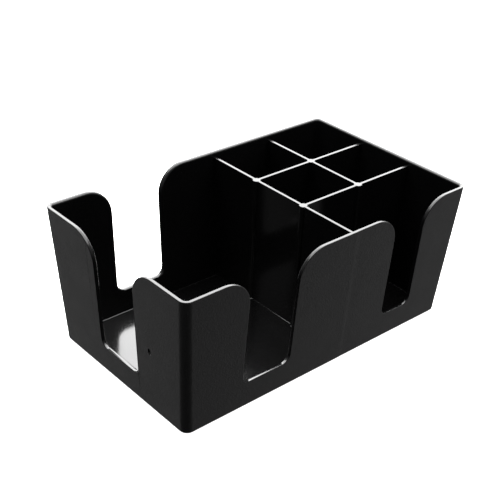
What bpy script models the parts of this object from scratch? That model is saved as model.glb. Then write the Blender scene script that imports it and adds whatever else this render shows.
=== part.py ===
"""Bar-top napkin and straw caddy: one thin-walled plastic moulding on four rubber feet.

Metres, +Z up.  The origin is on the counter, under the middle of the caddy.
+X runs along the caddy, away from the napkin end.  +Y points to the rear wall, which has one notch.
"""

import math

import bmesh
import bpy

# ---------------------------------------------------------------- driving dimensions
RIM_LENGTH = 0.2410          # outside, along X, at the rim
RIM_WIDTH = 0.1454           # outside, along Y, at the rim
BODY_HEIGHT = 0.0993         # underside of the floor to the rim
WALL_LEAN = 0.0066           # how far each outer wall leans out over that height
WALL_THICKNESS = 0.0032
FLOOR_THICKNESS = 0.0018
OUTER_CORNER_RADIUS = 0.0056
UNDERSIDE_EDGE_RADIUS = 0.0008
FLOOR_FILLET = 0.0004        # inside, where the walls meet the floor

DIVIDER_DROP = 0.0038        # divider tops sit this far below the rim
DIVIDER_THICKNESS = 0.0020   # at the top
DIVIDER_DRAFT = 0.0004       # how much thicker each side is at the floor
CROSS_DIVIDER_X = 0.0163     # closes the napkin well
REAR_DIVIDER_X = 0.0674      # parts the four small cells
FRONT_ROW_Y = -0.0217        # the two lengthwise dividers
REAR_ROW_Y = 0.0244
POST_RADIUS = 0.00275        # at the top, where dividers cross
POST_RADIUS_AT_FLOOR = 0.0030

NOTCH_FLOOR = 0.0190         # notch bottoms, above the underside
NOTCH_CORNER_RADIUS = 0.0060
LIP_RADIUS = 0.0200          # where a notch rolls over into the rim
NAPKIN_NOTCH_X = -0.0517     # the facing pair in the front and rear walls
NAPKIN_NOTCH_WIDTH = 0.0390
END_NOTCH_Y = -0.0012        # in the left end wall
END_NOTCH_WIDTH = 0.0403
STRAW_NOTCH_X = 0.0659       # in the front wall, at the right
STRAW_NOTCH_WIDTH = 0.0272

FOOT_RADIUS = 0.0050
FOOT_PROUD = 0.0007          # how far a foot stands below the floor
FOOT_RECESS_DEPTH = 0.0006
FOOT_EDGE_RADIUS = 0.0003
FOOT_INSET = 0.0140          # foot centre to the underside's edges
GLUE_GAP = 0.0003            # adhesive film round and over each foot

LIP_STEPS = 10               # segments in a quarter turn of a lip
CORNER_STEPS = 4             # segments in a quarter turn of a notch's bottom corner

# ---------------------------------------------------------------- derived levels
UNDERSIDE = FOOT_PROUD
FLOOR_TOP = UNDERSIDE + FLOOR_THICKNESS
INSIDE_FLOOR = UNDERSIDE + FLOOR_THICKNESS / 2
RIM = UNDERSIDE + BODY_HEIGHT
DIVIDER_TOP = RIM - DIVIDER_DROP
HALF_LENGTH = RIM_LENGTH / 2
HALF_WIDTH = RIM_WIDTH / 2
OVERSHOOT = 0.005            # cutters run this far past the faces they open


def wall_face(half_at_rim, inwards, level):
    """Distance from the middle to a leaning wall, at a level, on a face set in from the outside."""
    return half_at_rim - inwards - WALL_LEAN * (RIM - level) / BODY_HEIGHT


def divider_half(level):
    """Half a divider's thickness at a level: its sides are drafted, as they have to leave the mould."""
    fraction_down = (DIVIDER_TOP - level) / (DIVIDER_TOP - FLOOR_TOP)
    return DIVIDER_THICKNESS / 2 + DIVIDER_DRAFT * fraction_down


# ---------------------------------------------------------------- scene and collections
for old in list(bpy.data.objects):
    bpy.data.objects.remove(old, do_unlink=True)

parts = bpy.data.collections.new("napkin_caddy")
cutters = bpy.data.collections.new("cutters_and_tools")
bpy.context.scene.collection.children.link(parts)
bpy.context.scene.collection.children.link(cutters)


def material(name, colour, roughness):
    made = bpy.data.materials.new(name)
    made.use_nodes = True
    shader = made.node_tree.nodes["Principled BSDF"]
    shader.inputs["Base Color"].default_value = (*colour, 1.0)
    shader.inputs["Roughness"].default_value = roughness
    shader.inputs["Metallic"].default_value = 0.0
    return made


def add_object(name, mesh, collection):
    made = bpy.data.objects.new(name, mesh)
    collection.objects.link(made)
    if collection == cutters:
        made.hide_render = True
        made.display_type = "WIRE"
    return made


def object_of(name, shape, collection):
    """Close a bmesh into an object."""
    bmesh.ops.recalc_face_normals(shape, faces=shape.faces)
    mesh = bpy.data.meshes.new(name)
    shape.to_mesh(mesh)
    shape.free()
    return add_object(name, mesh, collection)


def combine(target, tool, operation):
    """Cut a tool from the target, or join it to the target, with a live Boolean."""
    step = target.modifiers.new(f"{operation} {tool.name}", "BOOLEAN")
    step.operation = operation
    step.solver = "EXACT"
    step.object = tool


# ---------------------------------------------------------------- blocks with sloping sides
def sloped_block(bottom, top, low_x, high_x, low_y, high_y):
    """A cube whose four sides stand where the functions low_x, high_x, low_y and high_y say at each level."""
    shape = bmesh.new()
    bmesh.ops.create_cube(shape, size=2.0)
    for corner in shape.verts:
        level = top if corner.co.z > 0 else bottom
        side_x = high_x if corner.co.x > 0 else low_x
        side_y = high_y if corner.co.y > 0 else low_y
        corner.co = (side_x(level), side_y(level), level)
    return shape


def leaning_block(bottom, top, inwards):
    """A block whose sides follow the outer walls, set in from their outside."""
    return sloped_block(
        bottom,
        top,
        lambda level: -wall_face(HALF_LENGTH, inwards, level),
        lambda level: wall_face(HALF_LENGTH, inwards, level),
        lambda level: -wall_face(HALF_WIDTH, inwards, level),
        lambda level: wall_face(HALF_WIDTH, inwards, level),
    )


def round_upright_edges(shape, radius, steps):
    upright = [edge for edge in shape.edges if abs(edge.verts[0].co.z - edge.verts[1].co.z) > OVERSHOOT]
    bmesh.ops.bevel(shape, geom=upright, offset=radius, segments=steps, profile=0.5, affect="EDGES")


def round_lowest_edges(shape, radius, steps):
    lowest = min(corner.co.z for corner in shape.verts)
    around = [edge for edge in shape.edges if all(corner.co.z - lowest < 1e-6 for corner in edge.verts)]
    bmesh.ops.bevel(shape, geom=around, offset=radius, segments=steps, profile=0.5, affect="EDGES")


def outer_block():
    shape = leaning_block(UNDERSIDE, RIM, 0.0)
    round_upright_edges(shape, OUTER_CORNER_RADIUS, 6)
    round_lowest_edges(shape, UNDERSIDE_EDGE_RADIUS, 2)
    return object_of("caddy_body", shape, parts)


def hollow():
    """The space inside the outer walls, down to the floor."""
    shape = leaning_block(FLOOR_TOP, RIM + OVERSHOOT, WALL_THICKNESS)
    round_upright_edges(shape, OUTER_CORNER_RADIUS - WALL_THICKNESS, 5)
    round_lowest_edges(shape, FLOOR_FILLET, 2)
    return object_of("hollow", shape, cutters)


# ---------------------------------------------------------------- dividers and posts
def into_wall(half_at_rim):
    """Where a divider ends: in the middle of a leaning wall, at every level."""
    return lambda level: wall_face(half_at_rim, WALL_THICKNESS / 2, level)


def crosswise_divider(name, x, front_end):
    """A divider across the caddy, from front_end to the rear wall."""
    shape = sloped_block(
        INSIDE_FLOOR,
        DIVIDER_TOP,
        lambda level: x - divider_half(level),
        lambda level: x + divider_half(level),
        front_end,
        into_wall(HALF_WIDTH),
    )
    return object_of(name, shape, cutters)


def lengthwise_divider(name, y):
    """A divider along the caddy, from the cross divider to the right end wall."""
    shape = sloped_block(
        INSIDE_FLOOR,
        DIVIDER_TOP,
        lambda level: CROSS_DIVIDER_X,
        into_wall(HALF_LENGTH),
        lambda level: y - divider_half(level),
        lambda level: y + divider_half(level),
    )
    return object_of(name, shape, cutters)


def post(name, x, y):
    """A round post that stiffens a crossing, and that the ejector pins push on."""
    height = DIVIDER_TOP - INSIDE_FLOOR
    shape = bmesh.new()
    bmesh.ops.create_cone(
        shape,
        cap_ends=True,
        segments=24,
        radius1=POST_RADIUS_AT_FLOOR,
        radius2=POST_RADIUS,
        depth=height,
    )
    bmesh.ops.translate(shape, verts=shape.verts, vec=(x, y, INSIDE_FLOOR + height / 2))
    return object_of(name, shape, cutters)


# ---------------------------------------------------------------- notches
def arc(centre, radius, from_degrees, to_degrees, steps):
    angles = [from_degrees + (to_degrees - from_degrees) * step / steps for step in range(steps + 1)]
    return [
        (
            centre[0] + radius * math.cos(math.radians(angle)),
            centre[1] + radius * math.sin(math.radians(angle)),
        )
        for angle in angles
    ]


def notch_outline(width):
    """The notch on its wall: upright sides, round bottom corners, and lips that roll into the rim."""
    side = width / 2
    bottom = UNDERSIDE + NOTCH_FLOOR
    lip_centre = (side + LIP_RADIUS, RIM - LIP_RADIUS)
    corner_centre = (side - NOTCH_CORNER_RADIUS, bottom + NOTCH_CORNER_RADIUS)
    right = [(side + LIP_RADIUS, RIM + OVERSHOOT)]
    right += arc(lip_centre, LIP_RADIUS, 90, 180, LIP_STEPS)
    right += arc(corner_centre, NOTCH_CORNER_RADIUS, 0, -90, CORNER_STEPS)
    left = [(-across, level) for across, level in reversed(right)]
    return right + left


def notch_cutter(name, width, place, turn):
    """The outline as a flat filled curve, stood upright, turned about Z and put in its wall."""
    curve = bpy.data.curves.new(name, "CURVE")
    curve.dimensions = "2D"
    curve.fill_mode = "BOTH"
    curve.extrude = WALL_LEAN + WALL_THICKNESS
    outline = notch_outline(width)
    spline = curve.splines.new("POLY")
    spline.points.add(len(outline) - 1)
    for point, (across, level) in zip(spline.points, outline):
        point.co = (across, level, 0.0, 1.0)
    spline.use_cyclic_u = True
    flat = bpy.data.objects.new(f"{name}_curve", curve)
    cutters.objects.link(flat)
    flat.rotation_euler = (math.radians(90), 0.0, math.radians(turn))
    flat.location = place
    bpy.context.view_layer.update()
    graph = bpy.context.evaluated_depsgraph_get()
    mesh = bpy.data.meshes.new_from_object(flat.evaluated_get(graph))
    shape = bmesh.new()
    shape.from_mesh(mesh)
    bmesh.ops.remove_doubles(shape, verts=shape.verts, dist=1e-6)
    cutter = object_of(name, shape, cutters)
    cutter.matrix_world = flat.matrix_world.copy()
    bpy.data.objects.remove(flat, do_unlink=True)
    bpy.data.meshes.remove(mesh)
    return cutter


# ---------------------------------------------------------------- feet
def disc(name, radius, bottom, height, collection):
    shape = bmesh.new()
    bmesh.ops.create_cone(
        shape,
        cap_ends=True,
        segments=24,
        radius1=radius,
        radius2=radius,
        depth=height,
    )
    bmesh.ops.translate(shape, verts=shape.verts, vec=(0.0, 0.0, bottom + height / 2))
    return object_of(name, shape, collection)


def foot_places():
    """Each foot's name with its place on plan."""
    out_x = HALF_LENGTH - WALL_LEAN - FOOT_INSET
    out_y = HALF_WIDTH - WALL_LEAN - FOOT_INSET
    for depth_name, y in (("front", -out_y), ("rear", out_y)):
        for side_name, x in (("left", -out_x), ("right", out_x)):
            yield f"{depth_name}_{side_name}", x, y


def foot(name, x, y):
    """A rubber disc with a softened edge, stuck in its recess."""
    height = FOOT_PROUD + FOOT_RECESS_DEPTH - GLUE_GAP
    made = disc(name, FOOT_RADIUS, 0.0, height, parts)
    made.location = (x, y, 0.0)
    edge = made.modifiers.new("softened edge", "BEVEL")
    edge.width = FOOT_EDGE_RADIUS
    edge.segments = 2
    edge.limit_method = "ANGLE"
    made.data.materials.append(black_rubber)
    return made


def foot_recess(name, x, y):
    made = disc(
        name,
        FOOT_RADIUS + GLUE_GAP,
        UNDERSIDE - OVERSHOOT,
        FOOT_RECESS_DEPTH + OVERSHOOT,
        cutters,
    )
    made.location = (x, y, 0.0)
    return made


# ---------------------------------------------------------------- the moulding
def add_dividers(body):
    to_wall = into_wall(HALF_WIDTH)
    dividers = (
        crosswise_divider("cross_divider", CROSS_DIVIDER_X, lambda level: -to_wall(level)),
        crosswise_divider("rear_divider", REAR_DIVIDER_X, lambda level: FRONT_ROW_Y),
        lengthwise_divider("front_row_divider", FRONT_ROW_Y),
        lengthwise_divider("rear_row_divider", REAR_ROW_Y),
    )
    for divider in dividers:
        combine(body, divider, "UNION")


def add_posts(body):
    for column, x in (("cross", CROSS_DIVIDER_X), ("rear", REAR_DIVIDER_X)):
        for row, y in (("front", FRONT_ROW_Y), ("back", REAR_ROW_Y)):
            combine(body, post(f"post_{column}_{row}", x, y), "UNION")


def cut_notches(body):
    half_height = (RIM + UNDERSIDE) / 2
    end_x = -wall_face(HALF_LENGTH, WALL_THICKNESS / 2, half_height)
    rear_y = wall_face(HALF_WIDTH, WALL_THICKNESS / 2, half_height)
    notches = (
        ("front_napkin_notch", NAPKIN_NOTCH_WIDTH, (NAPKIN_NOTCH_X, -rear_y, 0.0), 0),
        ("rear_napkin_notch", NAPKIN_NOTCH_WIDTH, (NAPKIN_NOTCH_X, rear_y, 0.0), 0),
        ("end_notch", END_NOTCH_WIDTH, (end_x, END_NOTCH_Y, 0.0), 90),
        ("straw_notch", STRAW_NOTCH_WIDTH, (STRAW_NOTCH_X, -rear_y, 0.0), 0),
    )
    for name, width, place, turn in notches:
        combine(body, notch_cutter(name, width, place, turn), "DIFFERENCE")


def caddy_body():
    body = outer_block()
    body.data.materials.append(black_plastic)
    combine(body, hollow(), "DIFFERENCE")
    add_dividers(body)
    add_posts(body)
    cut_notches(body)
    for name, x, y in foot_places():
        combine(body, foot_recess(f"recess_{name}", x, y), "DIFFERENCE")


black_plastic = material("black_plastic", (0.012, 0.012, 0.013), 0.35)
black_rubber = material("black_rubber", (0.020, 0.020, 0.020), 0.80)

caddy_body()
for place_name, place_x, place_y in foot_places():
    foot(f"foot_{place_name}", place_x, place_y)

for made in parts.objects:
    made.data.shade_smooth()
    made.data.set_sharp_from_angle(angle=math.radians(30.0))
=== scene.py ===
# %% [markdown]
# A bar-top napkin and straw caddy
#
# The real object is one black plastic moulding on four small rubber feet.  A well at the left
# takes folded napkins, and thin dividers make cells for straws, stirrers and picks at the right.
#
# The measured model is loaded first as a fixed frame.  Everything after that makes the same shape
# again with the small things that a mould leaves behind: rounded rims, fillets, sink marks, and
# the different sheens of its textured and its polished faces.

import math

import bmesh
import bpy
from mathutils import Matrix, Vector


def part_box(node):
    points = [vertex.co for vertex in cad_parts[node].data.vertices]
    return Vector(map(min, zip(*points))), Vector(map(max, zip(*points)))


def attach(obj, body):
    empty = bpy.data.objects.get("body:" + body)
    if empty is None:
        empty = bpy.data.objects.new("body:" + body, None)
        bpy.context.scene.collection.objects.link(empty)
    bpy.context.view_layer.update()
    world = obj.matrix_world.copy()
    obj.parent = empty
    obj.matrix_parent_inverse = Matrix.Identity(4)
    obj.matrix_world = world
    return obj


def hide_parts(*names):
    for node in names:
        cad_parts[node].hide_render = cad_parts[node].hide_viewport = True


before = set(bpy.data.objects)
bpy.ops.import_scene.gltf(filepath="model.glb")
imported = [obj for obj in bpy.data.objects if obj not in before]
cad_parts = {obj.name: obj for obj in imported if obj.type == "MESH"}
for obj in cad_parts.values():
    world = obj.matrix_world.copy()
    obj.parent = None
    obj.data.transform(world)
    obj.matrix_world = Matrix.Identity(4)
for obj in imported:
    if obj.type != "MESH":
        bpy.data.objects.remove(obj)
bpy.context.view_layer.update()


print("nodes:", sorted(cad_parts))

# %% [markdown]
# Sizes
#
# All lengths are in metres.  The outside sizes are read from the measured model, so the new piece
# always fits it.  The rest are the sizes a mould maker would write on the drawing.

# %% Sizes of the moulding
body_low, body_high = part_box("caddy_body")
UNDERSIDE = body_low.z
RIM = body_high.z
HALF_LENGTH = body_high.x
HALF_WIDTH = body_high.y
WALL_LEAN = 0.0066            # each wall leans out this far between the underside and the rim
WALL_THICKNESS = 0.0032
FLOOR_TOP = UNDERSIDE + 0.0018
OUTER_CORNER_RADIUS = 0.0056
INNER_CORNER_RADIUS = OUTER_CORNER_RADIUS - WALL_THICKNESS
UNDERSIDE_EDGE_RADIUS = 0.0008
FLOOR_EDGE_RADIUS = 0.0004    # inside, where the floor meets the walls
RIM_INNER_RADIUS = 0.0017
RIM_OUTER_RADIUS = 0.0005
print("rim (mm):", round(HALF_LENGTH * 2000, 1), "x", round(HALF_WIDTH * 2000, 1))
print("underside and rim levels (mm):", round(UNDERSIDE * 1000, 1), round(RIM * 1000, 1))


def wall_at(half_at_rim, level, inwards=0.0):
    """How far a leaning wall is from the middle at a level, on a face set in from the outside."""
    return half_at_rim - inwards - WALL_LEAN * (RIM - level) / (RIM - UNDERSIDE)


# %% [markdown]
# Working by hand, in code
#
# An operator acts on whatever is selected.  These small helpers do what the hands do at the
# screen: clear the selection, pick faces or edges by where they are, round them off, and apply a
# modifier.

# %% Helpers for selecting and finishing
CLOSE = 1e-6                  # places nearer than this count as the same place
UPRIGHT_SHARE = 0.6           # an upright edge rises by more than this share of its length


def only(piece):
    """Select one object and make it active."""
    bpy.ops.object.select_all(action="DESELECT")
    piece.select_set(True)
    bpy.context.view_layer.objects.active = piece


def newest(name):
    """Name the object an operator has just added, and put its place into its mesh."""
    piece = bpy.context.view_layer.objects.active
    piece.name = name
    piece.data.name = name
    only(piece)
    bpy.ops.object.transform_apply(location=True, rotation=True, scale=True)
    return piece


def edit(piece):
    """Start editing a piece's mesh."""
    only(piece)
    bpy.ops.object.mode_set(mode="EDIT")


def leave():
    """Stop editing."""
    bpy.ops.object.mode_set(mode="OBJECT")


def pick(piece, kind, test):
    """In edit mode, select only the verts, edges or faces that pass a test."""
    mode = {"verts": "VERT", "edges": "EDGE", "faces": "FACE"}[kind]
    bpy.ops.mesh.select_mode(type=mode)
    bpy.ops.mesh.select_all(action="DESELECT")
    shape = bmesh.from_edit_mesh(piece.data)
    shape.normal_update()
    chosen = [item for item in getattr(shape, kind) if test(item)]
    for item in chosen:
        item.select_set(True)
    shape.select_flush_mode()
    bmesh.update_edit_mesh(piece.data)
    return len(chosen)


def is_upright(edge):
    return abs(edge.verts[0].co.z - edge.verts[1].co.z) > UPRIGHT_SHARE * edge.calc_length()


def at_level(item, level):
    return all(abs(corner.co.z - level) < CLOSE for corner in item.verts)


def faces_down(face):
    return face.normal.z < -0.99


def round_off(radius, segments, what="EDGES"):
    """Bevel the selected edges, or the selected corners of a flat outline, to a round profile."""
    bpy.ops.mesh.bevel(offset=radius, segments=segments, profile=0.5, affect=what)


def combine(target, tool, operation):
    """Join a tool to the target or cut it away, with an exact Boolean, and remove the tool."""
    step = target.modifiers.new(operation.lower(), "BOOLEAN")
    step.operation = operation
    step.solver = "EXACT"
    step.object = tool
    only(target)
    bpy.ops.object.modifier_apply(modifier=step.name)
    bpy.data.objects.remove(tool, do_unlink=True)


def tidy(piece):
    """Merge doubled corners and melt away faces and edges with no size."""
    edit(piece)
    bpy.ops.mesh.select_all(action="SELECT")
    bpy.ops.mesh.remove_doubles(threshold=CLOSE)
    bpy.ops.mesh.dissolve_degenerate(threshold=CLOSE)
    leave()


def soundness(piece):
    """How many edges don't have exactly two faces, none on a closed body, and the volume in cm3."""
    shape = bmesh.new()
    shape.from_mesh(piece.data)
    open_edges = sum(1 for edge in shape.edges if not edge.is_manifold)
    volume = shape.calc_volume() * 1e6
    shape.free()
    return open_edges, round(volume, 1)


# %% [markdown]
# The leaning block
#
# The moulding is a box whose four walls lean out by a few millimetres, so that it leaves its mould
# and so that caddies stack.  It could be lofted or tapered with a modifier.  Here a cube is added
# at the size of the rim, and its lowest face is made smaller, which gives the exact lean on all
# four sides.

# %% Add a block with leaning sides
def leaning_block(name, bottom, top, inwards):
    """A block between two levels, with its sides set in from the outer skin."""
    half_x = wall_at(HALF_LENGTH, top, inwards)
    half_y = wall_at(HALF_WIDTH, top, inwards)
    bpy.ops.mesh.primitive_cube_add(
        size=1.0,
        location=(0.0, 0.0, (bottom + top) / 2),
        scale=(2 * half_x, 2 * half_y, top - bottom),
    )
    block = newest(name)
    edit(block)
    pick(block, "faces", faces_down)
    shrink = (
        wall_at(HALF_LENGTH, bottom, inwards) / half_x,
        wall_at(HALF_WIDTH, bottom, inwards) / half_y,
        1.0,
    )
    bpy.ops.transform.resize(value=shrink, center_override=(0.0, 0.0, bottom))
    leave()
    return block


moulding = leaning_block("caddy_moulding", UNDERSIDE, RIM, 0.0)
edit(moulding)
pick(moulding, "edges", is_upright)
round_off(OUTER_CORNER_RADIUS, 12)
pick(moulding, "edges", lambda edge: at_level(edge, UNDERSIDE))
round_off(UNDERSIDE_EDGE_RADIUS, 4)
leave()
print("solid block, open edges and cm3:", soundness(moulding))

# %% [markdown]
# Where the dividers stand
#
# The cross divider closes the napkin well.  Beyond it two long dividers make three rows, and a
# shorter one halves the two rows at the back.  The places are needed now, because the next step
# marks the outside walls where the dividers will meet them.

# %% Places of the dividers
CROSS_DIVIDER_X = 0.0163
REAR_DIVIDER_X = 0.0674
FRONT_ROW_Y = -0.0217
REAR_ROW_Y = 0.0244
print("cross divider, mm in from the left rim:", round((HALF_LENGTH + CROSS_DIVIDER_X) * 1000, 1))

# %% [markdown]
# Sink marks
#
# Plastic shrinks as it cools.  Where a divider meets the outside wall there is more plastic behind
# the skin, and the skin is drawn in by a few hundredths of a millimetre.  The eye sees it as a
# soft upright line in the sheen.  It could be painted into the finish, but then it would not bend
# the reflections.  Five cuts across the wall give the line somewhere to sink, and the middle three
# are pushed in.

# %% Draw the skin in behind each divider
SINK_SPREAD = 0.0014          # from one cut to the next
SINK_DEPTH = 0.00006
SINK_PROFILE = ((-2, 0.0), (-1, 0.5), (0, 1.0), (1, 0.5), (2, 0.0))  # cut, share of the depth
PAST_THE_MIDDLE = 0.05        # corners further out than this belong to the wall on that side


def sink_line(across, place, side):
    """A sink mark on the wall at side -1 or +1 of the other axis. across is 0 for X, 1 for Y."""
    other = 1 - across
    normal = [0.0, 0.0, 0.0]
    normal[across] = 1.0
    edit(moulding)
    for step, share in SINK_PROFILE:
        here = place + step * SINK_SPREAD
        point = [0.0, 0.0, 0.0]
        point[across] = here
        bpy.ops.mesh.select_all(action="SELECT")
        bpy.ops.mesh.bisect(plane_co=point, plane_no=normal)
        if share:
            pick(
                moulding,
                "verts",
                lambda corner: abs(corner.co[across] - here) < CLOSE
                and corner.co[other] * side > PAST_THE_MIDDLE,
            )
            shift = [0.0, 0.0, 0.0]
            shift[other] = -side * share * SINK_DEPTH
            bpy.ops.transform.translate(value=shift)
    leave()


sink_line(0, CROSS_DIVIDER_X, -1)
sink_line(0, CROSS_DIVIDER_X, 1)
sink_line(0, REAR_DIVIDER_X, 1)
sink_line(1, FRONT_ROW_Y, 1)
sink_line(1, REAR_ROW_Y, 1)
print("after sink marks:", soundness(moulding), len(moulding.data.vertices), "corners")

# %% [markdown]
# Hollowing
#
# A shell could come from a Solidify modifier, but the floor is thinner than the walls, and the
# inside has a smaller radius in its upright corners and a smaller one still along the floor.  So
# the inside is modelled as its own block and cut away, as the core of the mould does.

# %% Cut the inside away
OVERSHOOT = 0.005             # how far a cutter goes on above the rim
inside = leaning_block("inside", FLOOR_TOP, RIM + OVERSHOOT, WALL_THICKNESS)
edit(inside)
pick(inside, "edges", is_upright)
round_off(INNER_CORNER_RADIUS, 7)
pick(inside, "edges", lambda edge: at_level(edge, FLOOR_TOP))
round_off(FLOOR_EDGE_RADIUS, 3)
leave()
combine(moulding, inside, "DIFFERENCE")
print("hollowed:", soundness(moulding))

# %% [markdown]
# Notches
#
# Four notches let fingers reach the napkins and straws.  Each has upright sides, round bottom
# corners and wide lips that roll over into the rim.  The outline starts as a plane, is extruded
# into a T, and its corners are rounded: two at the bottom with a small radius and the two under
# the arms with the lip's radius.  The flat outline is then extruded through the wall and cut away.

# %% Model a notch cutter
NOTCH_BOTTOM = UNDERSIDE + 0.0190
NOTCH_CORNER_RADIUS = 0.0060
LIP_RADIUS = 0.0200
ARM_REACH = 0.03              # each arm of the T, longer than the lip's radius
CUTTER_DEPTH = 0.02           # through the wall with room to spare on both sides


def notch_cutter(name, width):
    """The cutter for a notch in the front wall, upright across Y = 0."""
    side = width / 2
    middle = (NOTCH_BOTTOM + RIM) / 2
    bpy.ops.mesh.primitive_plane_add(
        size=1.0, location=(0.0, 0.0, middle), rotation=(math.radians(90), 0.0, 0.0)
    )
    cutter = newest(name)
    edit(cutter)
    bpy.ops.mesh.select_all(action="SELECT")
    bpy.ops.transform.resize(
        value=(width, 1.0, RIM - NOTCH_BOTTOM), center_override=(0.0, 0.0, middle)
    )
    pick(cutter, "edges", lambda edge: at_level(edge, RIM))
    bpy.ops.mesh.extrude_region_move(TRANSFORM_OT_translate={"value": (0.0, 0.0, OVERSHOOT)})
    for way in (-1, 1):
        pick(
            cutter,
            "edges",
            lambda edge: is_upright(edge) and all(
                corner.co.x * way > side - CLOSE and corner.co.z > RIM - CLOSE
                for corner in edge.verts
            ),
        )
        bpy.ops.mesh.extrude_region_move(
            TRANSFORM_OT_translate={"value": (way * ARM_REACH, 0.0, 0.0)}
        )
    bpy.ops.mesh.select_all(action="SELECT")
    bpy.ops.mesh.dissolve_limited(angle_limit=math.radians(1))
    pick(
        cutter,
        "verts",
        lambda corner: abs(abs(corner.co.x) - side) < CLOSE and abs(corner.co.z - RIM) < CLOSE,
    )
    round_off(LIP_RADIUS, 24, "VERTICES")
    pick(cutter, "verts", lambda corner: abs(corner.co.z - NOTCH_BOTTOM) < CLOSE)
    round_off(NOTCH_CORNER_RADIUS, 10, "VERTICES")
    bpy.ops.mesh.select_mode(type="FACE")
    bpy.ops.mesh.select_all(action="SELECT")
    bpy.ops.transform.translate(value=(0.0, -CUTTER_DEPTH / 2, 0.0))
    bpy.ops.mesh.extrude_region_move(TRANSFORM_OT_translate={"value": (0.0, CUTTER_DEPTH, 0.0)})
    bpy.ops.mesh.select_all(action="SELECT")
    bpy.ops.mesh.normals_make_consistent(inside=False)
    leave()
    return cutter


print("notches are", round((RIM - NOTCH_BOTTOM) * 1000, 1), "mm deep")

# %% [markdown]
# Placing the notches
#
# The front and rear walls share a pair of napkin notches, so that a hand can close on the stack
# from both sides.  The end wall has one of its own, and the straw row has a narrower one.  Each
# gets its own cutter, which is turned and moved to the middle of its wall before it cuts.

# %% Cut the four notches
NAPKIN_NOTCH_WIDTH = 0.0390
NAPKIN_NOTCH_X = -0.0517
half_height = (UNDERSIDE + RIM) / 2
front_wall = -wall_at(HALF_WIDTH, half_height, WALL_THICKNESS / 2)
end_wall = -wall_at(HALF_LENGTH, half_height, WALL_THICKNESS / 2)
NOTCHES = (  # name, width, place on plan, turn in degrees
    ("front_napkin_notch", NAPKIN_NOTCH_WIDTH, (NAPKIN_NOTCH_X, front_wall), 0),
    ("rear_napkin_notch", NAPKIN_NOTCH_WIDTH, (NAPKIN_NOTCH_X, -front_wall), 0),
    ("end_notch", 0.0403, (end_wall, -0.0012), 90),
    ("straw_notch", 0.0272, (0.0659, front_wall), 0),
)
for notch_name, notch_width, (place_x, place_y), turn in NOTCHES:
    cutter = notch_cutter(notch_name, notch_width)
    only(cutter)
    cutter.rotation_euler.z = math.radians(turn)
    cutter.location = (place_x, place_y, 0.0)
    bpy.ops.object.transform_apply(location=True, rotation=True, scale=True)
    combine(moulding, cutter, "DIFFERENCE")
    print(notch_name, "cut:", soundness(moulding))

# %% [markdown]
# Rounded rims
#
# No moulded edge is sharp.  The inside of the rim and of the notches is well rounded, so that
# napkins slide in, and the outer edge, where the mould parts, is nearly crisp.  Between them is a
# flat land about a millimetre wide, which catches the light.  A Bevel modifier would give both
# edges one radius, so the edges are picked by how far they lie inside the outer skin, and bevelled
# in two goes.

# %% Round the rim and the notches
CRISP_ANGLE = math.radians(50)


def inset_of(point):
    """How far a point lies inside the outer skin, on X and on Y."""
    return (
        wall_at(HALF_LENGTH, point.z) - abs(point.x),
        wall_at(HALF_WIDTH, point.z) - abs(point.y),
    )


def is_crisp(edge):
    return edge.is_manifold and edge.is_convex and edge.calc_face_angle() > CRISP_ANGLE


def round_rim(name, radius, segments, test):
    """Round the crisp edges whose middles lie at an inset that passes the test."""
    edit(moulding)
    found = pick(
        moulding,
        "edges",
        lambda edge: is_crisp(edge)
        and test(min(inset_of((edge.verts[0].co + edge.verts[1].co) / 2))),
    )
    round_off(radius, segments)
    leave()
    print(name, "edges rounded:", found, soundness(moulding))


tidy(moulding)
round_rim("inner", RIM_INNER_RADIUS, 6, lambda inset: inset > WALL_THICKNESS / 2)
round_rim("outer", RIM_OUTER_RADIUS, 3, lambda inset: inset < WALL_THICKNESS / 2)
tidy(moulding)

# %% [markdown]
# Dividers
#
# The dividers are thin drafted plates that stop just under the rim.  They are added one at a time
# as cubes, rounded along the top, drafted, and flared at the root, where the plastic flows into
# the floor.  Their ends follow the lean of the walls and stop inside them, so that a Boolean has a
# clear overlap to join.

# %% Model a divider
DIVIDER_TOP = RIM - 0.0038
DIVIDER_HALF = 0.0010         # half the thickness, at the top
DIVIDER_DRAFT = 0.0004        # extra half thickness at the floor
DIVIDER_EDGE_RADIUS = 0.00025
DIVIDER_FILLET = 0.0004       # where a divider grows out of the floor
DIVIDER_BURIED = 0.0009       # how far its root goes down into the floor
LONG_EDGE = 0.01              # the long edges of a plate are longer than this
FLARE_STEPS = 5


def flare_root(thick_axes, half_thickness, centre, fillet, buried):
    """Extrude the selected lowest face into the floor in steps that widen, to make a fillet."""
    level = FLOOR_TOP + fillet
    width = half_thickness
    for step in range(1, FLARE_STEPS + 1):
        angle = math.radians(90 * step / FLARE_STEPS)
        new_level = FLOOR_TOP + fillet * (1 - math.sin(angle))
        new_width = half_thickness + fillet * (1 - math.cos(angle))
        stretch = [new_width / width if axis in thick_axes else 1.0 for axis in range(3)]
        bpy.ops.mesh.extrude_region_move(
            TRANSFORM_OT_translate={"value": (0.0, 0.0, new_level - level)}
        )
        bpy.ops.transform.resize(value=stretch, center_override=(*centre, new_level))
        level, width = new_level, new_width
    bpy.ops.mesh.extrude_region_move(TRANSFORM_OT_translate={"value": (0.0, 0.0, -buried)})


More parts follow.
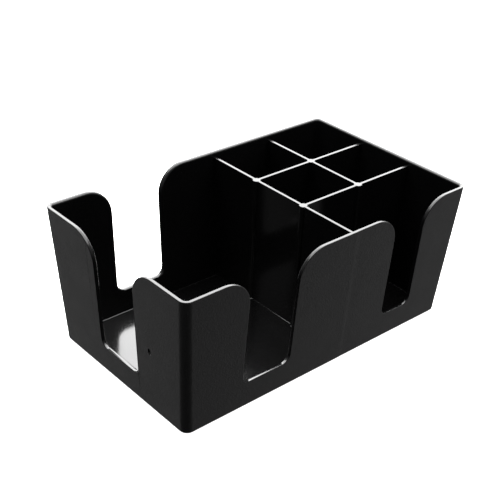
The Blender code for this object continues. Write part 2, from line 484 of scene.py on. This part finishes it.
def divider(name, thick_axis, place, low_end, high_end):
    """A plate thin along thick_axis. low_end and high_end give where its ends are at a level."""
    root = FLOOR_TOP + DIVIDER_FILLET
    long_axis = 1 - thick_axis
    centre, size = [0.0, 0.0, (root + DIVIDER_TOP) / 2], [0.0, 0.0, DIVIDER_TOP - root]
    centre[thick_axis], size[thick_axis] = place, 2 * DIVIDER_HALF
    low, high = low_end(DIVIDER_TOP), high_end(DIVIDER_TOP)
    centre[long_axis], size[long_axis] = (low + high) / 2, high - low
    bpy.ops.mesh.primitive_cube_add(size=1.0, location=centre, scale=size)
    plate = newest(name)
    edit(plate)
    pick(
        plate,
        "edges",
        lambda edge: at_level(edge, DIVIDER_TOP)
        and abs(edge.verts[0].co[long_axis] - edge.verts[1].co[long_axis]) > LONG_EDGE,
    )
    round_off(DIVIDER_EDGE_RADIUS, 4)
    root_half = DIVIDER_HALF + DIVIDER_DRAFT
    draft = [1.0, 1.0, 1.0]
    draft[thick_axis] = root_half / DIVIDER_HALF
    pick(plate, "faces", faces_down)
    bpy.ops.transform.resize(value=draft, center_override=centre[:2] + [root])
    flare_root((thick_axis,), root_half, centre[:2], DIVIDER_FILLET, DIVIDER_BURIED)
    for end, high_side in ((low_end, False), (high_end, True)):
        pick(
            plate,
            "verts",
            lambda corner: (corner.co[long_axis] > centre[long_axis]) == high_side,
        )
        shape = bmesh.from_edit_mesh(plate.data)
        for corner in shape.verts:
            if corner.select:
                corner.co[long_axis] = end(corner.co.z)
        bmesh.update_edit_mesh(plate.data)
    leave()
    return plate


def in_wall(half_at_rim, side=1):
    """A divider's end, in the middle of a leaning wall."""
    return lambda level: side * wall_at(half_at_rim, level, WALL_THICKNESS / 2)


print("dividers are", round(DIVIDER_HALF * 2000, 1), "mm thick at the top")

# %% [markdown]
# Posts
#
# Round drafted posts stand where dividers cross, a hair proud of them.  They stiffen the
# crossings, and the ejector pins push there.  A cone gives the draft.  The flare and the depth in
# the floor differ a little from a divider's, because a Boolean goes wrong where two faces almost
# coincide.

# %% Model a post
POST_RADIUS = 0.00275         # at the top
POST_ROOT_RADIUS = 0.0030
POST_PROUD = 0.00008
POST_FILLET = 0.00057
POST_BURIED = 0.0007


def post(name, x, y):
    """A drafted round post, a little proud of the dividers."""
    root, top = FLOOR_TOP + POST_FILLET, DIVIDER_TOP + POST_PROUD
    bpy.ops.mesh.primitive_cone_add(
        vertices=40,
        radius1=POST_ROOT_RADIUS,
        radius2=POST_RADIUS,
        depth=top - root,
        location=(x, y, (root + top) / 2),
    )
    piece = newest(name)
    edit(piece)
    pick(piece, "edges", lambda edge: at_level(edge, top))
    round_off(DIVIDER_EDGE_RADIUS, 4)
    pick(piece, "faces", faces_down)
    flare_root((0, 1), POST_ROOT_RADIUS, (x, y), POST_FILLET, POST_BURIED)
    leave()
    return piece


print("posts are", round(POST_RADIUS * 2000, 1), "mm across at the top")

# %% [markdown]
# The grid
#
# The four dividers and the four posts are joined one by one into a grid, and the grid is joined to
# the moulding.  It could all be joined in one go, but one at a time shows which piece is at fault
# if an edge is ever left open.

# %% Join the dividers and posts to the moulding
grid = divider("cross_divider", 0, CROSS_DIVIDER_X, in_wall(HALF_WIDTH, -1), in_wall(HALF_WIDTH))
others = [
    divider("rear_divider", 0, REAR_DIVIDER_X, lambda level: FRONT_ROW_Y, in_wall(HALF_WIDTH)),
    divider(
        "front_row_divider", 1, FRONT_ROW_Y, lambda level: CROSS_DIVIDER_X, in_wall(HALF_LENGTH)
    ),
    divider(
        "rear_row_divider", 1, REAR_ROW_Y, lambda level: CROSS_DIVIDER_X, in_wall(HALF_LENGTH)
    ),
]
for post_x in (CROSS_DIVIDER_X, REAR_DIVIDER_X):
    for post_y in (FRONT_ROW_Y, REAR_ROW_Y):
        others.append(post(f"post_{post_x:.4f}_{post_y:.4f}", post_x, post_y))
for other in others:
    combine(grid, other, "UNION")
    print("joined:", soundness(grid))
combine(moulding, grid, "UNION")
print("dividers joined to the moulding:", soundness(moulding))

# %% [markdown]
# Marks on the underside
#
# Four shallow recesses hold the feet.  The plastic entered the mould at the middle of the
# underside, where the gate left a dished well with a broken-off stub.  They could be drawn in the
# finish, but the feet need real recesses to sit in.  Short cylinders cut them, and a small cone
# makes the stub.

# %% Cut the foot recesses and the gate well
FOOT_RADIUS = 0.0050
RECESS_RADIUS = FOOT_RADIUS + 0.0003
RECESS_DEPTH = 0.0006
GATE_WELL_RADIUS = 0.0038
GATE_WELL_DEPTH = 0.0005
STUB_TIP_RADIUS = 0.0009
STUB_ROOT_RADIUS = 0.0013
STUB_LENGTH = 0.0008
STUB_MIDDLE = UNDERSIDE + 0.0005
STARTS_BELOW = 0.002          # how far under the underside a cutter begins


def dished(name, x, y, radius, depth):
    """A short cylinder that opens the underside to a depth."""
    bpy.ops.mesh.primitive_cylinder_add(
        vertices=64,
        radius=radius,
        depth=depth + STARTS_BELOW,
        location=(x, y, UNDERSIDE + (depth - STARTS_BELOW) / 2),
    )
    return newest(name)


foot_places = {}
for place in ("front_left", "front_right", "rear_left", "rear_right"):
    low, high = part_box(f"foot_{place}")
    foot_places[place] = ((low.x + high.x) / 2, (low.y + high.y) / 2)
for place, (x, y) in foot_places.items():
    combine(moulding, dished(f"recess_{place}", x, y, RECESS_RADIUS, RECESS_DEPTH), "DIFFERENCE")
combine(moulding, dished("gate_well", 0.0, 0.0, GATE_WELL_RADIUS, GATE_WELL_DEPTH), "DIFFERENCE")
bpy.ops.mesh.primitive_cone_add(
    vertices=24,
    radius1=STUB_TIP_RADIUS,
    radius2=STUB_ROOT_RADIUS,
    depth=STUB_LENGTH,
    location=(0.0, 0.0, STUB_MIDDLE),
)
combine(moulding, newest("gate_stub"), "UNION")
print("underside marked:", soundness(moulding))

# %% [markdown]
# The pit
#
# The left end wall has one small dark pit, about five millimetres high and three wide.  A dark
# spot in the finish would be easier, but it would have no depth.  A stretched sphere, tilted a
# little, has its middle on the skin, so half of it is cut away.

# %% Cut the pit
PIT_LEVEL = UNDERSIDE + 0.045
PIT_Y = -0.0348
PIT_HALF_SIZES = (0.00160, 0.00150, 0.00250)
PIT_TILT = math.radians(-12)
bpy.ops.mesh.primitive_uv_sphere_add(
    segments=24,
    ring_count=16,
    location=(-wall_at(HALF_LENGTH, PIT_LEVEL), PIT_Y, PIT_LEVEL),
    scale=PIT_HALF_SIZES,
    rotation=(PIT_TILT, 0.0, 0.0),
)
combine(moulding, newest("pit"), "DIFFERENCE")
tidy(moulding)
print("marks made:", soundness(moulding), len(moulding.data.polygons), "faces")

# %% [markdown]
# Rubber feet
#
# The caddy stands on four stick-on rubber discs.  Each is modelled from a cylinder: its lower and
# upper edges are rounded, and the middle of the face it stands on is inset and pushed up, which
# leaves a flat ring to stand on, as on a moulded bumper.

# %% Model the four feet
FOOT_LOWER_RADIUS = 0.00035
FOOT_UPPER_RADIUS = 0.00012
FOOT_RING_WIDTH = 0.0012
FOOT_STEP_WIDTH = 0.0002
FOOT_HOLLOW = 0.00015
foot_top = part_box("foot_front_left")[1].z
feet = []
for place, (x, y) in foot_places.items():
    bpy.ops.mesh.primitive_cylinder_add(
        vertices=64, radius=FOOT_RADIUS, depth=foot_top, location=(x, y, foot_top / 2)
    )
    foot = newest(f"rubber_foot_{place}")
    edit(foot)
    pick(foot, "edges", lambda edge: at_level(edge, 0.0))
    round_off(FOOT_LOWER_RADIUS, 5)
    pick(foot, "edges", lambda edge: at_level(edge, foot_top))
    round_off(FOOT_UPPER_RADIUS, 2)
    pick(foot, "faces", faces_down)
    bpy.ops.mesh.inset(thickness=FOOT_RING_WIDTH)
    bpy.ops.mesh.inset(thickness=FOOT_STEP_WIDTH)
    bpy.ops.transform.translate(value=(0.0, 0.0, FOOT_HOLLOW))
    leave()
    only(foot)
    bpy.ops.object.shade_smooth_by_angle(angle=math.radians(40))
    feet.append(foot)
print("feet:", [foot.name for foot in feet], "open edges:", [soundness(foot)[0] for foot in feet])

# %% [markdown]
# How the finishes are made
#
# Black plastic is hard to tell from black paint until its surface breaks up the light, so each
# finish is built from small differences in colour, roughness and relief.  The pattern could be an
# image.  It is made from noise on Object coordinates instead, so it stays fixed to the piece and
# has its real size from any distance.

# %% Helpers for materials
PLASTIC_IOR = 1.55


def new_material(name):
    """A material with its nodes, its links and its main shader."""
    made = bpy.data.materials.new(name)
    made.use_nodes = True
    nodes, links = made.node_tree.nodes, made.node_tree.links
    return made, nodes, links, nodes["Principled BSDF"]


def object_place(nodes):
    return nodes.new("ShaderNodeTexCoord").outputs["Object"]


def noise(nodes, links, place, scale, detail=2.0, roughness=0.5, stretch=None):
    """Noise with about scale features to the metre, longer where stretch is under 1."""
    if stretch:
        mapping = nodes.new("ShaderNodeMapping")
        mapping.inputs["Scale"].default_value = stretch
        links.new(place, mapping.inputs["Vector"])
        place = mapping.outputs["Vector"]
    made = nodes.new("ShaderNodeTexNoise")
    made.inputs["Scale"].default_value = scale
    made.inputs["Detail"].default_value = detail
    made.inputs["Roughness"].default_value = roughness
    links.new(place, made.inputs["Vector"])
    return made.outputs["Fac"]


def remap(nodes, links, value, from_low, from_high, to_low, to_high):
    """Turn one range of numbers into another, and hold it at the ends."""
    made = nodes.new("ShaderNodeMapRange")
    made.inputs["From Min"].default_value = from_low
    made.inputs["From Max"].default_value = from_high
    made.inputs["To Min"].default_value = to_low
    made.inputs["To Max"].default_value = to_high
    links.new(value, made.inputs["Value"])
    return made.outputs["Result"]


def arithmetic(nodes, links, operation, first, second):
    """Add or multiply two values."""
    made = nodes.new("ShaderNodeMath")
    made.operation = operation
    links.new(first, made.inputs[0])
    links.new(second, made.inputs[1])
    return made.outputs["Value"]


def two_colours(nodes, links, factor, first, second):
    ramp = nodes.new("ShaderNodeValToRGB")
    ramp.color_ramp.elements[0].color = (*first, 1.0)
    ramp.color_ramp.elements[1].color = (*second, 1.0)
    links.new(factor, ramp.inputs["Fac"])
    return ramp.outputs["Color"]


def relief(nodes, links, height, strength, distance, onto=None):
    """Bumps of a height in metres, on top of another relief if there is one."""
    bump = nodes.new("ShaderNodeBump")
    bump.inputs["Strength"].default_value = strength
    bump.inputs["Distance"].default_value = distance
    links.new(height, bump.inputs["Height"])
    if onto:
        links.new(onto, bump.inputs["Normal"])
    return bump.outputs["Normal"]


# %% [markdown]
# Satin plastic
#
# The half of the mould that forms the outside is spark-eroded, which leaves a fine even grain with
# a mottle about a millimetre across on top of it.  One noise alone looks like sand or like orange
# peel.  Three are used: a fine grain, the mottle, and broad patches that change the colour and the
# sheen a little, as handling does.

# %% Satin plastic, for the outside and the underside
satin, nodes, links, shader = new_material("satin_black_plastic")
place = object_place(nodes)
grain = noise(nodes, links, place, 2600.0, detail=3.0, roughness=0.6)
mottle = noise(nodes, links, place, 950.0, detail=3.0, roughness=0.6)
patches = noise(nodes, links, place, 45.0, detail=4.0, roughness=0.55)
black = two_colours(nodes, links, patches, (0.0040, 0.0040, 0.0042), (0.0068, 0.0068, 0.0071))
links.new(black, shader.inputs["Base Color"])
sheen = arithmetic(
    nodes, links, "ADD",
    remap(nodes, links, patches, 0.3, 0.7, 0.40, 0.47),
    remap(nodes, links, mottle, 0.3, 0.7, -0.04, 0.04),
)
links.new(sheen, shader.inputs["Roughness"])
fine_grain = relief(nodes, links, grain, 0.35, 0.00004)
links.new(relief(nodes, links, mottle, 0.65, 0.00028, onto=fine_grain), shader.inputs["Normal"])
shader.inputs["IOR"].default_value = PLASTIC_IOR
shader.inputs["Specular IOR Level"].default_value = 0.42
print("satin finish:", len(nodes), "nodes")

# %% [markdown]
# Polished plastic
#
# The core of the mould is polished, so the inside is glossy and very dark.  The rims and notch
# edges come from the line where the two halves close, and fingers and napkins rub them, so they
# are a little duller.  It is the same plastic, so one function makes both, with different
# roughness.  Upright draw lines, from the core sliding out, are noise stretched along Z.

# %% Glossier plastic, for the inside and for the rims
def glossy_finish(name, low, high, specular):
    """Black plastic from a polished steel face. low and high are the ends of its roughness."""
    made, nodes, links, shader = new_material(name)
    place = object_place(nodes)
    ripple = noise(nodes, links, place, 120.0, detail=2.0, roughness=0.45)
    draw_lines = noise(
        nodes, links, place, 900.0, detail=2.0, roughness=0.5, stretch=(1.0, 1.0, 0.06)
    )
    haze = noise(nodes, links, place, 30.0, detail=5.0, roughness=0.6)
    black = two_colours(
        nodes, links, haze, (0.00080, 0.00080, 0.00084), (0.0016, 0.0016, 0.00168)
    )
    links.new(black, shader.inputs["Base Color"])
    gloss = arithmetic(
        nodes, links, "ADD",
        remap(nodes, links, haze, 0.3, 0.7, low, high),
        remap(nodes, links, draw_lines, 0.4, 0.7, 0.0, 0.03),
    )
    links.new(gloss, shader.inputs["Roughness"])
    fine_relief = relief(nodes, links, draw_lines, 0.10, 0.00001)
    links.new(
        relief(nodes, links, ripple, 0.15, 0.00005, onto=fine_relief), shader.inputs["Normal"]
    )
    shader.inputs["IOR"].default_value = PLASTIC_IOR
    shader.inputs["Specular IOR Level"].default_value = specular
    print(name, "finish:", len(nodes), "nodes")
    return made


polished = glossy_finish("polished_black_plastic", 0.10, 0.15, 0.38)
rim_finish = glossy_finish("rim_black_plastic", 0.18, 0.24, 0.22)

# %% [markdown]
# Rubber
#
# The feet are soft black rubber.  It is matt and crumbly close up, and it holds pale dust, which a
# single dark colour would miss.  One noise gives the crumb its roughness and relief, and a broader
# one moves the colour between black and dusty grey.

# %% Rubber, for the feet
rubber, nodes, links, shader = new_material("black_rubber")
place = object_place(nodes)
crumb = noise(nodes, links, place, 1800.0, detail=4.0, roughness=0.65)
dust = noise(nodes, links, place, 350.0, detail=3.0, roughness=0.6)
dusty = two_colours(nodes, links, dust, (0.014, 0.014, 0.014), (0.034, 0.033, 0.032))
links.new(dusty, shader.inputs["Base Color"])
links.new(remap(nodes, links, crumb, 0.3, 0.7, 0.70, 0.92), shader.inputs["Roughness"])
links.new(relief(nodes, links, crumb, 0.5, 0.00006), shader.inputs["Normal"])
print("rubber finish:", len(nodes), "nodes")

# %% [markdown]
# Which face has which finish
#
# The two halves of the mould meet along the outer edge of the rim.  Everything that faces outwards
# and lies on the outer skin, with the underside, has the satin.  The rims, the upright edges and
# lips of the notches, and the tops of the dividers have the duller polish.  All the rest, with the
# flat ledges at the bottom of the notches, has the full polish of the core.

# %% Tell the faces apart
UNDER_FLOOR = FLOOR_TOP - 0.0008   # a face that looks down below this is on the underside
SKIN_DEPTH = 0.0021                # a face further inside the skin than this isn't outside
LEDGE_CLEARANCE = 0.0010           # lower than this above a notch's bottom, a face is on its ledge
TOP_BAND = 0.0003                  # how far down a divider its rounded top reaches


def formed_by_cavity(face):
    """Outside faces: on the outer skin and turned away from the middle, or under the floor."""
    centre = face.calc_center_median()
    inset_x, inset_y = inset_of(centre)
    if face.normal.z < -0.5 and centre.z < UNDER_FLOOR:
        return True
    if min(inset_x, inset_y) > SKIN_DEPTH:
        return False
    side_x, side_y = math.copysign(1.0, centre.x), math.copysign(1.0, centre.y)
    if inset_x < inset_y:
        outwards = Vector((side_x, 0.0, 0.0))
    else:
        outwards = Vector((0.0, side_y, 0.0))
    if face.normal.dot(outwards) > 0.75:
        return True
    near_corner = max(inset_x, inset_y) < OUTER_CORNER_RADIUS
    return near_corner and face.normal.dot((0.7 * side_x, 0.7 * side_y, 0.0)) > 0.5


def on_an_edge_face(face):
    """The rim, the upright notch edges and lips, and the tops of the dividers."""
    centre = face.calc_center_median()
    above_ledges = centre.z > NOTCH_BOTTOM + LEDGE_CLEARANCE
    in_wall_thickness = 0.0 < min(inset_of(centre)) < WALL_THICKNESS and above_ledges
    on_top = centre.z > DIVIDER_TOP - TOP_BAND and face.normal.z > 0.2
    return (in_wall_thickness and not formed_by_cavity(face)) or on_top


# %% [markdown]
# Giving out the finishes
#
# Each finish takes one of the moulding's material slots.  A face could be given its finish by
# hand, one selection at a time, and this does the same with the two tests above.  Rounded faces are
# then shaded smooth and flat ones kept flat, with normals weighted by area, so that the small
# bevels carry the highlights and the large walls stay even.

# %% Give each face its finish and its shading
moulding.data.materials.clear()
for finish in (polished, satin, rim_finish):
    moulding.data.materials.append(finish)
edit(moulding)
for index, test in ((1, formed_by_cavity), (2, on_an_edge_face)):
    count = pick(moulding, "faces", test)
    moulding.active_material_index = index
    bpy.ops.object.material_slot_assign()
    print(moulding.data.materials[index].name, "on", count, "faces")
leave()
for foot in feet:
    foot.data.materials.clear()
    foot.data.materials.append(rubber)

only(moulding)
bpy.ops.object.shade_smooth_by_angle(angle=math.radians(35))
even = moulding.modifiers.new("even shading", "WEIGHTED_NORMAL")
even.keep_sharp = True
even.mode = "FACE_AREA_WITH_ANGLE"
bpy.ops.object.modifier_apply(modifier=even.name)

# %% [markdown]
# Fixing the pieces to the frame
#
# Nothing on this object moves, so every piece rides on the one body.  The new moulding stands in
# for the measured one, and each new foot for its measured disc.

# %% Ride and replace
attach(moulding, "root")
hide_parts("caddy_body")
for place, foot in zip(foot_places, feet):
    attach(foot, "root")
    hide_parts(f"foot_{place}")
print("riding on root:", moulding.name, [foot.name for foot in feet])

# %% [markdown]
# The floor and the backdrop
#
# The caddy stands on a plain pale floor in front of a plain pale wall.  A lit floor would need a
# strong lamp of its own, and its reflection would fill the glossy inside.  So the floor and a tall
# cylinder round it give off their own even light, and only the camera sees them.

# %% Floor and backdrop
bpy.ops.mesh.primitive_plane_add(size=50.0, location=(0.0, 0.0, 0.0))
floor = newest("studio_floor")
bpy.ops.mesh.primitive_cylinder_add(vertices=96, radius=24.0, depth=48.0, end_fill_type="NOTHING")
backdrop = newest("studio_backdrop")
pale, nodes, links, shader = new_material("pale_floor")
shader.inputs["Base Color"].default_value = (0.80, 0.80, 0.80, 1.0)
shader.inputs["Roughness"].default_value = 0.9
shader.inputs["Specular IOR Level"].default_value = 0.0
shader.inputs["Emission Color"].default_value = (1.0, 1.0, 1.0, 1.0)
shader.inputs["Emission Strength"].default_value = 1.0
for sheet in (floor, backdrop):
    sheet.data.materials.append(pale)
    sheet.visible_glossy = False
    sheet.visible_diffuse = False
    sheet.visible_shadow = False
print("stage:", floor.name, "and", backdrop.name)

# %% [markdown]
# The light all round
#
# Black gloss plastic shows its lights more than itself, so what surrounds it matters more than how
# much light falls on it.  The world stands for a studio: a bright glow behind the caddy, which is
# strongest about a third of the way up, and a gentler light from the floor, which fades towards
# the camera.  Many lamps could do this.  One brightness that changes with direction does it
# softly, with no edges in the reflections.

# %% Brightness of the studio by direction
world = bpy.data.worlds.new("studio_air")
world.use_nodes = True
nodes, links = world.node_tree.nodes, world.node_tree.links
way = nodes.new("ShaderNodeTexCoord").outputs["Generated"]
parts = nodes.new("ShaderNodeSeparateXYZ")
links.new(way, parts.inputs["Vector"])
rise = parts.outputs["Z"]


def facing(direction):
    """How far a direction of view points along another direction, from -1 to 1."""
    product = nodes.new("ShaderNodeVectorMath")
    product.operation = "DOT_PRODUCT"
    product.inputs[1].default_value = direction
    links.new(way, product.inputs[0])
    return product.outputs["Value"]


glow = remap(nodes, links, facing((0.68, 0.73, 0.0)), 0.45, 0.90, 0.0, 1.0)
floor_light = remap(nodes, links, facing((0.755, 0.656, 0.0)), -0.08, 0.42, 0.03, 0.50)
low_glow = arithmetic(
    nodes, links, "MULTIPLY", glow, remap(nodes, links, rise, -1.0, 0.0, 0.6, 1.5)
)
high_glow = arithmetic(
    nodes, links, "MULTIPLY", glow, remap(nodes, links, rise, 0.0, 0.5, 3.0, 14.0)
)
below = arithmetic(nodes, links, "ADD", floor_light, low_glow)
above = arithmetic(
    nodes, links, "ADD", remap(nodes, links, rise, 0.0, 0.5, 0.25, 0.70), high_glow
)
brightness = nodes.new("ShaderNodeMix")
links.new(remap(nodes, links, rise, -0.08, 0.08, 0.0, 1.0), brightness.inputs["Factor"])
links.new(below, brightness.inputs["A"])
links.new(above, brightness.inputs["B"])
nodes["Background"].inputs["Color"].default_value = (1.0, 1.0, 1.0, 1.0)
links.new(brightness.outputs["Result"], nodes["Background"].inputs["Strength"])
bpy.context.scene.world = world
print("studio air:", len(nodes), "nodes")

# %% [markdown]
# The soft light overhead
#
# One very large soft light hangs level, a little over a metre up and half a metre behind the
# caddy.  Its reflection whitens every rim and divider and makes the bright patch on the floor of
# the well.  A small lamp would give hard points of light instead.

# %% Hang the soft light
LIGHT_LENGTH = 2.10
LIGHT_WIDTH = 1.58
LIGHT_RADIANCE = 10.5
light_data = bpy.data.lights.new("top_light", "AREA")
light_data.shape = "RECTANGLE"
light_data.size, light_data.size_y = LIGHT_LENGTH, LIGHT_WIDTH
light_data.energy = LIGHT_RADIANCE * math.pi * LIGHT_LENGTH * LIGHT_WIDTH
top_light = bpy.data.objects.new("top_light", light_data)
bpy.context.scene.collection.objects.link(top_light)
top_light.location = (0.333, 0.358, 1.1)
top_light.rotation_euler = (0.0, 0.0, math.radians(-43.0))
top_light.visible_camera = False
print("soft light:", round(light_data.energy, 1), "W")

# %% [markdown]
# The camera
#
# The camera looks down at the front left corner from about 0.7 m away, with a short telephoto
# lens.  The plain view transform is chosen, because a filmic one would lift the blacks and grey
# the floor.

# %% Place the camera
camera_data = bpy.data.cameras.new("camera")
camera_data.lens = 74.35
camera_data.sensor_width = 36.0
camera_data.clip_start = 0.02
camera_data.clip_end = 50.0
camera = bpy.data.objects.new("camera", camera_data)
bpy.context.scene.collection.objects.link(camera)
camera.location = (-0.40714, -0.44115, 0.40741)
camera.rotation_euler = [math.radians(angle) for angle in (59.767, -2.163, -40.807)]
bpy.context.scene.camera = camera
bpy.context.scene.view_settings.view_transform = "Standard"
bpy.context.scene.view_settings.look = "None"
print("camera is", round(camera.location.length, 2), "m from the middle of the caddy")

# %% [markdown]
# Bringing the scene up to date
#
# The new pieces have to fill the same box as the measured model.  Here the scene is only brought up
# to date.

# %% Bring the scene up to date
bpy.context.view_layer.update()
